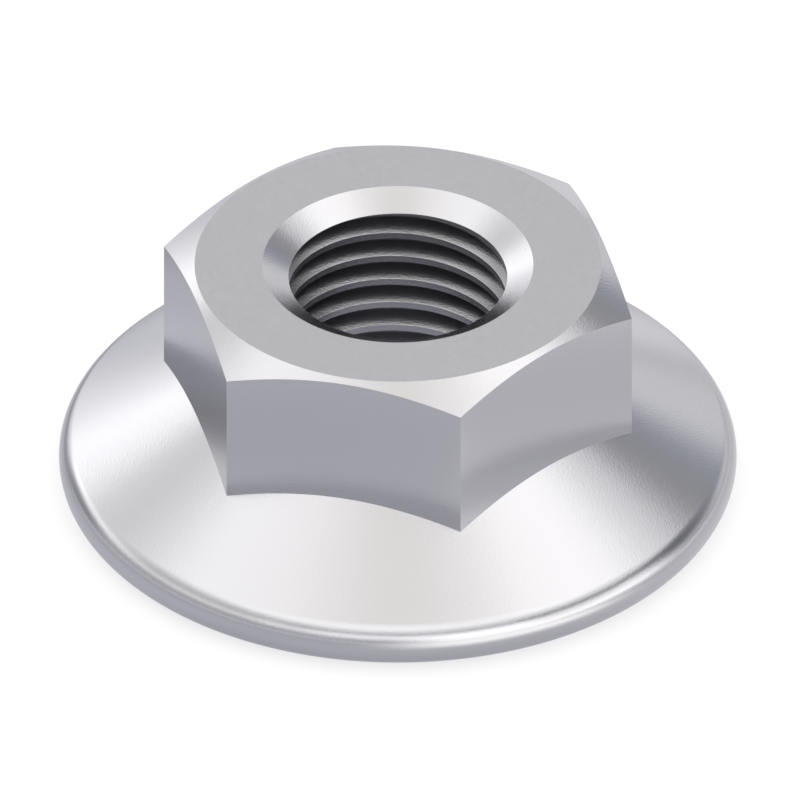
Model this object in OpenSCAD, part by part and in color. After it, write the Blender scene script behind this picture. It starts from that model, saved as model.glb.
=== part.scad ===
// Flange nut for clamping profiles: a chamfered hexagon that stands on a wide cone with a
// full round rim, bored through for its thread and countersunk at both ends.
// The axis is +Z and the origin is the centre of the bearing face. Sizes are in millimetres.

/* [Hexagon] */
// Width across the flats of the hexagon
across_flats = 13; // [12:0.1:14]
// Height of the whole nut, from the bearing face to the top face
nut_h = 8.1; // [7.5:0.1:12]
// Diameter of the flat top face, inside the corner chamfer
top_face_d = 12.6; // [10:0.1:12.8]
// Slope of the corner chamfer, measured from the top face in degrees
chamfer_angle = 30; // [15:1:45]

/* [Flange] */
// Outside diameter of the flange
flange_d = 21; // [18:0.1:24]
// Slope of the flange's cone, measured from the bearing face in degrees
cone_angle = 30; // [20:1:35]
// Radius of the round that ends the flange, from the cone to the bearing face
rim_r = 0.85; // [0.5:0.05:1]

/* [Thread] */
// Diameter of the bore, which is the thread's minor diameter
bore_d = 6.8; // [5.5:0.1:7.4]
// Outside diameter of the countersink at each end of the bore
countersink_d = 8.4; // [7.6:0.1:9.4]
// Slope of the countersinks, measured from the end faces in degrees
countersink_angle = 30; // [20:1:45]

/* [Hidden] */
$fn = 96;

// How far a cutting or trimming form runs past the surface that it cuts
past = 1;

hex_corner_r = across_flats / 2 / cos(30);
top_face_r = top_face_d / 2;
bore_r = bore_d / 2;
countersink_r = countersink_d / 2;
countersink_h = (countersink_r - bore_r) * tan(countersink_angle);

// The rim's round has its centre one radius above the bearing face. The cone leaves the
// round where their slopes are the same.
rim_centre_r = flange_d / 2 - rim_r;
rim_join_r = rim_centre_r + rim_r * sin(cone_angle);
rim_join_z = rim_r + rim_r * cos(cone_angle);

// Height of the flange's cone at a distance from the axis
function cone_z(r) = rim_join_z + (rim_join_r - r) * tan(cone_angle);

// Outline of the flange from the axis outwards. The cone runs on under the hexagon.
module flange_outline() {
    polygon([
        [0, 0],
        [rim_centre_r, 0],
        [rim_centre_r, rim_r],
        [rim_join_r, rim_join_z],
        [countersink_r, cone_z(countersink_r)],
        [0, cone_z(countersink_r)]
    ]);
    translate([rim_centre_r, rim_r])
        circle(r = rim_r);
}

module flange() {
    rotate_extrude()
        flange_outline();
}

// Cone that takes the corners off the top of the hexagon in six curved chamfers
module chamfer_form() {
    form_r = hex_corner_r + past;
    rotate_extrude()
        polygon([
            [0, 0],
            [form_r, 0],
            [form_r, nut_h - (form_r - top_face_r) * tan(chamfer_angle)],
            [top_face_r, nut_h],
            [0, nut_h]
        ]);
}

// The hexagon starts inside the flange, so the cone meets its six sides in arcs
module hexagon() {
    intersection() {
        translate([0, 0, rim_r])
            cylinder(r = hex_corner_r, h = nut_h - rim_r, $fn = 6);
        chamfer_form();
    }
}

// Bore and both countersinks in one turned form
module threaded_bore() {
    mouth_r = countersink_r + past / tan(countersink_angle);
    rotate_extrude()
        polygon([
            [0, -past],
            [mouth_r, -past],
            [bore_r, countersink_h],
            [bore_r, nut_h - countersink_h],
            [mouth_r, nut_h + past],
            [0, nut_h + past]
        ]);
}

module flange_nut() {
    color("silver")
        difference() {
            union() {
                flange();
                hexagon();
            }
            threaded_bore();
        }
}

flange_nut();
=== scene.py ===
"""Looks of the profile flange nut: one mesh with its thread cut as a true helix, bright zinc
plating with a fine grain, a pale floor and a plain soft studio round it."""
import math

import bmesh
import bpy
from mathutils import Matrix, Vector


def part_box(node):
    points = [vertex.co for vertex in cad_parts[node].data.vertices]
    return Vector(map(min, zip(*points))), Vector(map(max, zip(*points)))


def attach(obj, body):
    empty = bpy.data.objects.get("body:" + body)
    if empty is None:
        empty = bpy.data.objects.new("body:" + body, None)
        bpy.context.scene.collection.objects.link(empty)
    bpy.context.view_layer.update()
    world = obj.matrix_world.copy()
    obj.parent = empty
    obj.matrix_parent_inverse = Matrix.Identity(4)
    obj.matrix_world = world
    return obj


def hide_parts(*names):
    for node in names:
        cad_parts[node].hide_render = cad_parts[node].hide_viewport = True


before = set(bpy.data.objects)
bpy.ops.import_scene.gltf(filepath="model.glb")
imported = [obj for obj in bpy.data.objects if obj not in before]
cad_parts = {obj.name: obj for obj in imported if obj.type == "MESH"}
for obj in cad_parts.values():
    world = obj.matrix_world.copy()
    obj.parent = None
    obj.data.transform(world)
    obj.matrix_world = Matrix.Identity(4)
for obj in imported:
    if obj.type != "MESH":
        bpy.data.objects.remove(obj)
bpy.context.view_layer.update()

MM = 0.001

# Sizes of the nut. The height and the flange come from the frame.
high_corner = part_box("flange_nut")[1]
nut_h = high_corner.z
flange_r = high_corner.x
flat_r = 6.5 * MM
top_face_r = 6.3 * MM
slope = math.radians(30)
rim_r = 0.85 * MM
countersink_r = 4.2 * MM

# Thread: right-handed, with 60 degree flanks. The flats at crest and root are a quarter and an
# eighth of the pitch, which makes the thread 0.5413 of the pitch deep.
crest_r = 3.4 * MM
pitch = 0.872 * MM
root_r = crest_r + 0.5413 * pitch
crest_w = pitch / 4
root_w = pitch / 8
far_crest_top = 6.89 * MM
lip = 0.01 * MM

# Plating. The grain is shallowest on the upright walls and deepest in the thread.
grain_depth = 0.0018 * MM
wall_grain_depth = 0.0007 * MM
extra_thread_grain_depth = 0.0016 * MM
grain_per_mm = 16
clouds_per_mm = 0.35
marks_per_mm = 5
plating_roughness = (0.157, 0.173)
extra_thread_roughness = 0.09
# Painted shade: the share by which the colour in the thread's grooves is darkened
painted_groove_shade = 0.40

# How finely round surfaces are divided
slices = 432
rim_steps = 30
cone_steps = 6
thread_turn_steps = 160
countersink_steps = 192
floor_steps = 96

# The blank has a plain hole that the bore then cuts away
blank_hole_r = 2 * MM
past = 1 * MM
weld_distance = 0.0002 * MM

# Faces that meet at less than this angle are shaded as one surface
crease_angle = math.radians(25)

# The floor is a wide disc that lies just clear of the bearing face
floor_r = 1
floor_drop = 0.002 * MM
floor_lift_seen = 0.72

# Camera: a parallel view from above, at the photograph's angles
view_azimuth = math.radians(15)
view_elevation = math.radians(35.264)
view_width = 24.79 * MM
aim_height = 2.951 * MM
aim_right = 0.066 * MM
camera_distance = 200 * MM
camera_reach = 2

view_right = Vector((math.cos(view_azimuth), math.sin(view_azimuth), 0))
view_ahead = Vector((-math.sin(view_azimuth), math.cos(view_azimuth), 0))


def polar(radius, angle, height):
    return Vector((radius * math.cos(angle), radius * math.sin(angle), height))


def countersink_depth(radius):
    """How deep a countersink is where it has narrowed to a radius."""
    return (countersink_r - radius) * math.tan(slope)


def outer_outline(angle):
    """The blank's outline at one angle, from the top of its hole, over the outside, to the
    bottom."""
    from_flat = abs((angle % math.radians(60)) - math.radians(30))
    wall_r = flat_r / math.cos(from_flat)
    rim_centre_r = flange_r - rim_r
    join = Vector((rim_centre_r + rim_r * math.sin(slope), rim_r + rim_r * math.cos(slope)))
    foot = Vector((wall_r, join.y + (join.x - wall_r) * math.tan(slope)))
    shoulder = Vector((wall_r, nut_h - (wall_r - top_face_r) * math.tan(slope)))
    outline = [Vector((blank_hole_r, nut_h)), Vector((top_face_r, nut_h)), shoulder, foot]
    for step in range(1, cone_steps):
        outline.append(foot.lerp(join, step / cone_steps))
    for step in range(rim_steps + 1):
        lean = math.radians(60) - math.radians(150) * step / rim_steps
        out = rim_centre_r + rim_r * math.cos(lean)
        outline.append(Vector((out, rim_r + rim_r * math.sin(lean))))
    outline.append(Vector((blank_hole_r, 0)))
    return outline


def new_object(name, mesh_data):
    mesh = bpy.data.meshes.new(name)
    bmesh.ops.recalc_face_normals(mesh_data, faces=mesh_data.faces)
    mesh_data.to_mesh(mesh)
    mesh_data.free()
    piece = bpy.data.objects.new(name, mesh)
    bpy.context.scene.collection.objects.link(piece)
    return piece


def ring_solid(name, steps, outline_at):
    """A closed ring whose outline may change round the axis."""
    mesh = bmesh.new()
    columns = []
    for step in range(steps):
        angle = 2 * math.pi * step / steps
        columns.append([mesh.verts.new(polar(p.x, angle, p.y)) for p in outline_at(angle)])
    for i, column in enumerate(columns):
        following = columns[(i + 1) % len(columns)]
        for k in range(len(column)):
            n = (k + 1) % len(column)
            mesh.faces.new((column[k], column[n], following[n], following[k]))
    return new_object(name, mesh)


def countersink_outline(angle):
    """Both countersinks in one turned form, joined by a core that is thinner than the thread.
    It is the same at every angle."""
    core_r = blank_hole_r / 2
    mouth_r = countersink_r + past / math.tan(slope)
    return [
        Vector((core_r, nut_h - countersink_depth(core_r))),
        Vector((mouth_r, nut_h + past)),
        Vector((core_r / 2, nut_h + past)),
        Vector((core_r / 2, -past)),
        Vector((mouth_r, -past)),
        Vector((core_r, countersink_depth(core_r))),
    ]


def thread_form():
    """One turn of the thread's outline, from the lower edge of a crest to the next one's."""
    flank_h = (pitch - crest_w - root_w) / 2
    return [
        Vector((crest_r, 0)),
        Vector((crest_r, crest_w)),
        Vector((root_r, crest_w + flank_h)),
        Vector((root_r, pitch - flank_h)),
    ]


def open_edges_at(mesh, height):
    """The edges of a hole that a level cut has left at a height."""
    return [
        edge
        for edge in mesh.edges
        if edge.is_boundary and all(abs(v.co.z - height) < weld_distance for v in edge.verts)
    ]


def thread_core():
    """A solid screw that fills the threaded bore. It ends inside each countersink's inner edge."""
    # The crest's upper edge is known on the far wall of the bore, as the camera sees it
    far_wall_turn = view_azimuth / (2 * math.pi) + 0.25
    start_z = far_crest_top - crest_w - pitch * far_wall_turn
    turns_below = math.ceil((start_z + past) / pitch)
    turns = turns_below + math.ceil((nut_h + past - start_z) / pitch)
    form = thread_form()
    mesh = bmesh.new()
    rows = []
    for step in range(turns * thread_turn_steps + 1):
        turn = step / thread_turn_steps - turns_below
        angle = 2 * math.pi * turn
        rise = start_z + pitch * turn
        rows.append([mesh.verts.new(polar(p.x, angle, p.y + rise)) for p in form])
    for step in range(len(rows) - 1):
        here = rows[step]
        following = rows[step + 1]
        for k in range(len(form) - 1):
            mesh.faces.new((here[k], here[k + 1], following[k + 1], following[k]))
        above = step + thread_turn_steps
        if above + 1 < len(rows):
            mesh.faces.new((here[-1], rows[above][0], rows[above + 1][0], following[-1]))
    end_depth = countersink_depth(crest_r - lip)
    for height, outwards in ((end_depth, -1), (nut_h - end_depth, 1)):
        bmesh.ops.bisect_plane(
            mesh,
            geom=mesh.verts[:] + mesh.edges[:] + mesh.faces[:],
            dist=weld_distance,
            plane_co=(0, 0, height),
            plane_no=(0, 0, outwards),
            clear_outer=True,
        )
        bmesh.ops.edgeloop_fill(mesh, edges=open_edges_at(mesh, height))
    return new_object("thread_core", mesh)


def cut_away(piece, cutters):
    """Takes the cutters out of the piece and leaves one plain, clean mesh."""
    for cutter in cutters:
        cut = piece.modifiers.new("cut", "BOOLEAN")
        cut.operation = "DIFFERENCE"
        cut.solver = "EXACT"
        cut.object = cutter
    depsgraph = bpy.context.evaluated_depsgraph_get()
    result = bpy.data.meshes.new_from_object(piece.evaluated_get(depsgraph))
    mesh = bmesh.new()
    mesh.from_mesh(result)
    bmesh.ops.remove_doubles(mesh, verts=mesh.verts, dist=weld_distance)
    bmesh.ops.dissolve_degenerate(mesh, edges=mesh.edges, dist=weld_distance)
    mesh.to_mesh(result)
    mesh.free()
    piece.modifiers.clear()
    piece.data = result
    for cutter in cutters:
        bpy.data.objects.remove(cutter)


def shade(mesh):
    """Smooth shading inside each surface. A corner takes the mean direction of the faces round it
    that lean less than the crease angle from its own face, weighted by their areas."""
    limit = math.cos(crease_angle)
    faces_at = [[] for _ in mesh.vertices]
    for face in mesh.polygons:
        for vertex in face.vertices:
            faces_at[vertex].append((face.normal.copy(), face.area))
    corner_normals = []
    for face in mesh.polygons:
        own = face.normal.copy()
        for vertex in face.vertices:
            total = Vector()
            for normal, area in faces_at[vertex]:
                if normal.dot(own) > limit:
                    total += normal * area
            corner_normals.append(total.normalized())
    mesh.shade_smooth()
    mesh.normals_split_custom_set(corner_normals)


def make_nut():
    nut = ring_solid("nut_body", slices, outer_outline)
    countersinks = ring_solid("countersinks", countersink_steps, countersink_outline)
    cut_away(nut, [countersinks, thread_core()])
    shade(nut.data)
    return nut


class Nodes:
    """Short ways to add nodes to one node tree."""

    def __init__(self, tree):
        self.tree = tree
        tree.nodes.clear()

    def add(self, kind, **settings):
        node = self.tree.nodes.new(kind)
        for name, value in settings.items():
            setattr(node, name, value)
        return node

    def join(self, source, target):
        self.tree.links.new(source, target)

    def math(self, operation, *values):
        """A Math node. Each value is a number or another node's output."""
        node = self.add("ShaderNodeMath", operation=operation)
        for socket, value in zip(node.inputs, values):
            if isinstance(value, (int, float)):
                socket.default_value = value
            else:
                self.join(value, socket)
        return node.outputs[0]

    def dot(self, vector, direction):
        node = self.add("ShaderNodeVectorMath", operation="DOT_PRODUCT")
        self.join(vector, node.inputs[0])
        node.inputs[1].default_value = direction
        return node.outputs["Value"]

    def ease(self, value, start, end, low=0.0, high=1.0):
        """Goes smoothly from low to high as value goes from start to end."""
        node = self.add("ShaderNodeMapRange", interpolation_type="SMOOTHSTEP")
        self.join(value, node.inputs["Value"])
        node.inputs["From Min"].default_value = start
        node.inputs["From Max"].default_value = end
        node.inputs["To Min"].default_value = low
        node.inputs["To Max"].default_value = high
        return node.outputs["Result"]

    def noise(self, coordinates, scale, detail):
        node = self.add("ShaderNodeTexNoise")
        self.join(coordinates, node.inputs["Vector"])
        node.inputs["Scale"].default_value = scale
        node.inputs["Detail"].default_value = detail
        return node.outputs["Fac"]

    def cells(self, coordinates, scale):
        node = self.add("ShaderNodeTexVoronoi")
        self.join(coordinates, node.inputs["Vector"])
        node.inputs["Scale"].default_value = scale
        return node.outputs["Distance"]

    def scaled(self, vector, factor):
        """A vector or a colour times a number or another node's output."""
        node = self.add("ShaderNodeVectorMath", operation="SCALE")
        self.join(vector, node.inputs[0])
        if isinstance(factor, (int, float)):
            node.inputs["Scale"].default_value = factor
        else:
            self.join(factor, node.inputs["Scale"])
        return node.outputs["Vector"]

    def times_plus(self, factor, vector, offset):
        """A factor times a fixed vector, plus a vector that is fixed or another node's output."""
        node = self.add("ShaderNodeVectorMath", operation="MULTIPLY_ADD")
        self.join(factor, node.inputs[0])
        node.inputs[1].default_value = vector
        if isinstance(offset, tuple):
            node.inputs[2].default_value = offset
        else:
            self.join(offset, node.inputs[2])
        return node.outputs["Vector"]

    def tint(self, factor, colour_a, colour_b):
        """A colour that goes from a to b with the factor."""
        node = self.add("ShaderNodeMix", data_type="RGBA")
        self.join(factor, node.inputs["Factor"])
        node.inputs["A"].default_value = (*colour_a, 1)
        node.inputs["B"].default_value = (*colour_b, 1)
        return node.outputs["Result"]


def plated_steel():
    """Bright zinc plating with a very fine grain, faintly cloudy in colour. The cut thread is
    duller, and its grooves have painted shade: their colour is darkened."""
    material = bpy.data.materials.new("plated_steel")
    material.use_nodes = True
    nodes = Nodes(material.node_tree)
    surface = nodes.add("ShaderNodeTexCoord").outputs
    coordinates = surface["Object"]
    in_mm = nodes.scaled(coordinates, 1 / MM)
    shader = nodes.add("ShaderNodeBsdfPrincipled")
    shader.inputs["Metallic"].default_value = 1

    # Where the thread is, and where its grooves are, which get painted shade
    parts = nodes.add("ShaderNodeSeparateXYZ")
    nodes.join(coordinates, parts.inputs["Vector"])
    x_squared = nodes.math("POWER", parts.outputs["X"], 2)
    y_squared = nodes.math("POWER", parts.outputs["Y"], 2)
    from_axis = nodes.math("SQRT", nodes.math("ADD", x_squared, y_squared))
    from_middle = nodes.math("ABSOLUTE", nodes.math("SUBTRACT", parts.outputs["Z"], nut_h / 2))
    thread_half_h = nut_h / 2 - countersink_depth(crest_r)
    in_bore = nodes.math("LESS_THAN", from_axis, root_r + lip)
    between_ends = nodes.math("LESS_THAN", from_middle, thread_half_h)
    in_thread = nodes.math("MULTIPLY", in_bore, between_ends)
    past_crest = nodes.math("GREATER_THAN", from_axis, crest_r + lip)
    in_groove = nodes.math("MULTIPLY", in_thread, past_crest)

    clouds = nodes.noise(in_mm, clouds_per_mm, 3)
    plating = nodes.tint(clouds, (0.515, 0.518, 0.545), (0.528, 0.531, 0.558))
    # Painted shade: the plating's colour is darkened in the thread's grooves
    plating = nodes.scaled(plating, nodes.math("MULTIPLY_ADD", in_groove, -painted_groove_shade, 1))
    nodes.join(plating, shader.inputs["Base Color"])

    marks = nodes.noise(in_mm, marks_per_mm, 4)
    roughness = nodes.ease(marks, 0.3, 0.7, *plating_roughness)
    roughness = nodes.math("MULTIPLY_ADD", in_thread, extra_thread_roughness, roughness)
    nodes.join(roughness, shader.inputs["Roughness"])

    # The upright walls are smoother than the cones, and the thread is rougher
    upright = nodes.math("ABSOLUTE", nodes.dot(surface["Normal"], (0, 0, 1)))
    depth = nodes.ease(upright, 0.1, 0.4, wall_grain_depth, grain_depth)
    depth = nodes.math("MULTIPLY_ADD", in_thread, extra_thread_grain_depth, depth)
    grain = nodes.add("ShaderNodeBump")
    grain.inputs["Strength"].default_value = 1
    nodes.join(depth, grain.inputs["Distance"])
    nodes.join(nodes.cells(in_mm, grain_per_mm), grain.inputs["Height"])
    nodes.join(grain.outputs["Normal"], shader.inputs["Normal"])
    output = nodes.add("ShaderNodeOutputMaterial")
    nodes.join(shader.outputs["BSDF"], output.inputs["Surface"])
    return material


def off_azimuth(nodes, vector, azimuth):
    """How far a vector points to either side of an azimuth, in radians. The azimuth is given in
    degrees from straight ahead of the camera, to the right."""
    turn = math.radians(azimuth)
    ahead = view_ahead * math.cos(turn) + view_right * math.sin(turn)
    right = view_right * math.cos(turn) - view_ahead * math.sin(turn)
    sideways = nodes.math("ARCTAN2", nodes.dot(vector, right), nodes.dot(vector, ahead))
    return nodes.math("ABSOLUTE", sideways)


def floor_in_reflections(nodes, place, from_axis):
    """Painted light and shade on the floor, as the plating mirrors it: more to the right, close to
    the nut's sides and far away, less behind the nut, and with painted pools of light and shade."""
    rightwards = nodes.dot(place, view_right)
    to_right = nodes.ease(rightwards, -12 * MM, 16 * MM)
    shown = nodes.tint(to_right, (0.292, 0.302, 0.350), (0.427, 0.422, 0.451))
    beside = nodes.ease(nodes.math("ABSOLUTE", rightwards), 5 * MM, 9 * MM, 0.05, 0.10)
    close_by = nodes.ease(from_axis, 11.5 * MM, 14.5 * MM, 1, 0)
    near = nodes.math("MULTIPLY", close_by, beside)
    far = nodes.ease(from_axis, 16 * MM, 22 * MM, 0, 0.16)
    # Painted shade behind the nut
    behind = nodes.ease(nodes.dot(place, view_ahead), 7 * MM, 13 * MM, 0, -0.08)
    for extra in (near, far, behind):
        shown = nodes.times_plus(extra, (1, 1, 1), shown)

    # Each painted field, a pool of light where it adds and shade where it takes away: its azimuth,
    #     the half widths where it starts to fade and is gone, in degrees, the distances where it
    #     starts and is full, in mm, and what it adds. The second one takes back part of the bright
    #     first one further out.
    fields = [
        (155, (10, 36), (11.4, 14), (1, 0.97, 0.88)),
        (155, (10, 36), (19, 25), (-0.42, -0.41, -0.38)),
        (108, (12, 30), (16, 20), (0.12, 0.12, 0.12)),
        (0, (3, 12), (16, 22), (-0.16, -0.16, -0.16)),
        (24, (6, 12), (16, 22), (0.12, 0.12, 0.12)),
        (-24, (6, 12), (16, 22), (0.14, 0.14, 0.14)),
        (-54, (12, 28), (15, 18), (-0.25, -0.25, -0.25)),
    ]
    for azimuth, (inner, outer), (start, full), gain in fields:
        off_middle = off_azimuth(nodes, place, azimuth)
        in_width = nodes.ease(off_middle, math.radians(inner), math.radians(outer), 1, 0)
        far_enough = nodes.ease(from_axis, start * MM, full * MM)
        field = nodes.math("MULTIPLY", in_width, far_enough)
        shown = nodes.times_plus(field, gain, shown)
    return shown


def pale_floor():
    """A pale floor that takes the nut's shadow. It is lifted to white where it is seen, and less
    in reflections, with painted shade that dims the lift under the nut, most of all under the
    bore."""
    material = bpy.data.materials.new("pale_floor")
    material.use_nodes = True
    nodes = Nodes(material.node_tree)
    paint = nodes.add("ShaderNodeBsdfDiffuse")
    paint.inputs["Color"].default_value = (0.27, 0.27, 0.27, 1)
    place = nodes.add("ShaderNodeTexCoord").outputs["Object"]
    length = nodes.add("ShaderNodeVectorMath", operation="LENGTH")
    nodes.join(place, length.inputs[0])
    from_axis = length.outputs["Value"]

    rays = nodes.add("ShaderNodeLightPath").outputs
    reflected = nodes.math("MAXIMUM", rays["Is Glossy Ray"], rays["Is Transmission Ray"])
    mirrored = nodes.scaled(floor_in_reflections(nodes, place, from_axis), reflected)
    seen = nodes.math("MULTIPLY", rays["Is Camera Ray"], floor_lift_seen)
    lift = nodes.add("ShaderNodeEmission")
    nodes.join(nodes.times_plus(seen, (1, 1, 1), mirrored), lift.inputs["Color"])
    # Painted shade: the lift is dimmed under the nut, most under the bore
    strength = nodes.ease(from_axis, root_r, flange_r - rim_r, 0.8, 1)
    nodes.join(strength, lift.inputs["Strength"])
    both = nodes.add("ShaderNodeAddShader")
    nodes.join(paint.outputs["BSDF"], both.inputs[0])
    nodes.join(lift.outputs["Emission"], both.inputs[1])
    output = nodes.add("ShaderNodeOutputMaterial")
    nodes.join(both.outputs["Shader"], output.inputs["Surface"])
    return material


def make_floor():
    mesh = bmesh.new()
    bmesh.ops.create_circle(mesh, cap_ends=True, segments=floor_steps, radius=floor_r)
    floor = new_object("floor", mesh)
    floor.location.z = -floor_drop
    floor.data.materials.append(pale_floor())


def window(nodes, direction, elevation, centre, size, blur):
    """One where a direction points into a field of the studio wall, easing to zero round it.
    The centre is an azimuth and an elevation, and the size is half of each extent, in degrees."""
    across = off_azimuth(nodes, direction, centre[0])
    upwards = nodes.math("ABSOLUTE", nodes.math("SUBTRACT", elevation, math.radians(centre[1])))
    half_w, half_h, soft = (math.radians(angle) for angle in (*size, blur))
    in_width = nodes.ease(across, half_w - soft, half_w + soft, 1, 0)
    in_height = nodes.ease(upwards, half_h - soft, half_h + soft, 1, 0)
    return nodes.math("MULTIPLY", in_width, in_height)


def walls_and_ceiling(nodes, elevation):
    """A bright ceiling over paler walls, a little warmer towards the top."""
    # Brightness by elevation in degrees
    levels = [
        (0, 0.6),
        (12, 0.79),
        (24, 1.05),
        (34, 0.47),
        (43, 1.17),
        (58, 1.68),
        (66, 1.62),
        (90, 1.22),
    ]
    ramp = nodes.add("ShaderNodeValToRGB")
    nodes.join(nodes.math("DIVIDE", elevation, math.radians(90)), ramp.inputs["Fac"])
    ramp.color_ramp.interpolation = "EASE"
    stops = ramp.color_ramp.elements
    while len(stops) < len(levels):
        stops.new(1)
    for stop, (angle, level) in zip(stops, levels):
        warmth = (angle / 90) ** 1.5
        stop.position = angle / 90
        stop.color = (level * (1 + 0.04 * warmth), level, level * (1.02 - 0.08 * warmth), 1)
    return ramp.outputs["Color"]


def studio():
    """The light: walls and ceiling, soft boxes round the nut, and dark screens that take away a
    share of the light. Where the camera sees past the floor, it sees plain white."""
    world = bpy.data.worlds.new("studio")
    world.use_nodes = True
    bpy.context.scene.world = world
    nodes = Nodes(world.node_tree)
    direction = nodes.add("ShaderNodeTexCoord").outputs["Generated"]
    elevation = nodes.math("ARCSINE", nodes.dot(direction, (0, 0, 1)))
    light = walls_and_ceiling(nodes, elevation)

    # Centre, size and blur in degrees, and what each box adds
    boxes = [
        ((-12, 0), (26, 7), 8, (0.32, 0.32, 0.33)),
        ((6, 20), (51, 8), 14, (1.215, 1.20, 1.17)),
        ((-90, 26), (50, 12), 3, (0.62, 0.60, 0.56)),
        ((180, 24.5), (44, 11.5), 4, (0.54, 0.53, 0.51)),
        ((130, 0), (43, 18), 14, (1.28, 1.22, 1.17)),
        ((76, 60), (45, 11), 4, (0.17, 0.16, 0.15)),
    ]
    for centre, size, blur, gain in boxes:
        field = window(nodes, direction, elevation, centre, size, blur)
        light = nodes.times_plus(field, gain, light)

    # The same for each screen, with the share that it takes
    screens = [
        ((58, 23), (28, 11), 10, (-0.78, -0.77, -0.742)),
        ((27.5, 12), (6, 6), 6, (-0.25, -0.25, -0.25)),
        ((-57, 8), (12, 10), 6, (-0.40, -0.40, -0.39)),
        ((-112, 26), (36, 10), 14, (-0.40, -0.40, -0.39)),
    ]
    for centre, size, blur, loss in screens:
        field = window(nodes, direction, elevation, centre, size, blur)
        shaded = nodes.add("ShaderNodeVectorMath", operation="MULTIPLY")
        nodes.join(light, shaded.inputs[0])
        nodes.join(nodes.times_plus(field, loss, (1, 1, 1)), shaded.inputs[1])
        light = shaded.outputs["Vector"]

    seen = nodes.add("ShaderNodeLightPath").outputs["Is Camera Ray"]
    unseen_light = nodes.scaled(light, nodes.math("SUBTRACT", 1, seen))
    background = nodes.add("ShaderNodeBackground")
    nodes.join(nodes.times_plus(seen, (1, 1, 1), unseen_light), background.inputs["Color"])
    output = nodes.add("ShaderNodeOutputWorld")
    nodes.join(background.outputs["Background"], output.inputs["Surface"])


def make_camera():
    data = bpy.data.cameras.new("camera")
    data.type = "ORTHO"
    data.ortho_scale = view_width
    data.clip_start = 1 * MM
    data.clip_end = camera_reach
    camera = bpy.data.objects.new("camera", data)
    bpy.context.scene.collection.objects.link(camera)
    back = Vector((0, 0, 1)) * math.sin(view_elevation) - view_ahead * math.cos(view_elevation)
    target = Vector((0, 0, aim_height)) + view_right * aim_right
    camera.location = target + back * camera_distance
    camera.rotation_euler = (-back).to_track_quat("-Z", "Y").to_euler()
    bpy.context.scene.camera = camera


make_camera()
make_floor()
studio()

nut = make_nut()
nut.data.materials.clear()
nut.data.materials.append(plated_steel())
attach(nut, "root")
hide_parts("flange_nut")

bpy.context.scene.view_settings.view_transform = "Standard"
